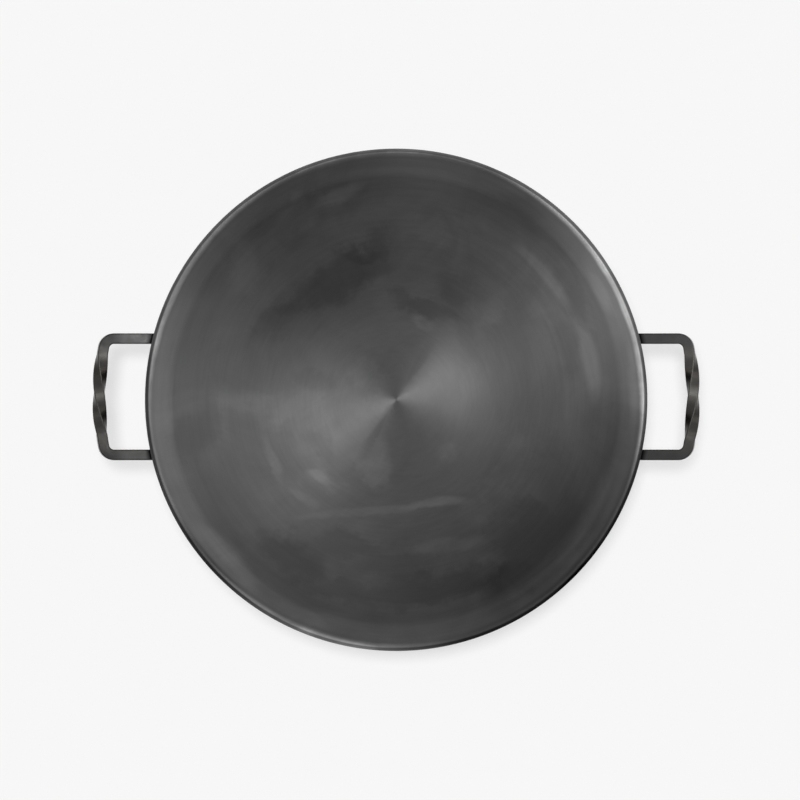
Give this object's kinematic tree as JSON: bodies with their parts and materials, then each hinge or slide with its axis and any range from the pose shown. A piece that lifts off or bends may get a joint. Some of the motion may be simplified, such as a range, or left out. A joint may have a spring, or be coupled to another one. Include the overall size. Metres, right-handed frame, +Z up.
{
  "type": "cast iron wok",
  "caption": "Round, shallow iron wok with a flat base, a flared band below the lip and loop handles of twisted square bar welded on outside.",
  "frame": {"origin": "centre of the flat underside of the base", "axes": "+X towards the right-hand handle, +Y away from the cook towards the back, +Z up"},
  "size_m": [0.4593, 0.3798, 0.098],
  "materials": {
    "seasoned_iron": "turned in fine rings, wiped with oil and seasoned dark grey",
    "forged_bar": "blackened, satin, with worn arrises on the twists",
    "weld_metal": "blackened bead"
  },
  "bodies": {
    "root": {"bowl": "seasoned_iron", "left_handle": "forged_bar", "right_handle": "forged_bar", "left_front_weld": "weld_metal", "left_back_weld": "weld_metal", "right_front_weld": "weld_metal", "right_back_weld": "weld_metal"}
  },
  "joints": []
}
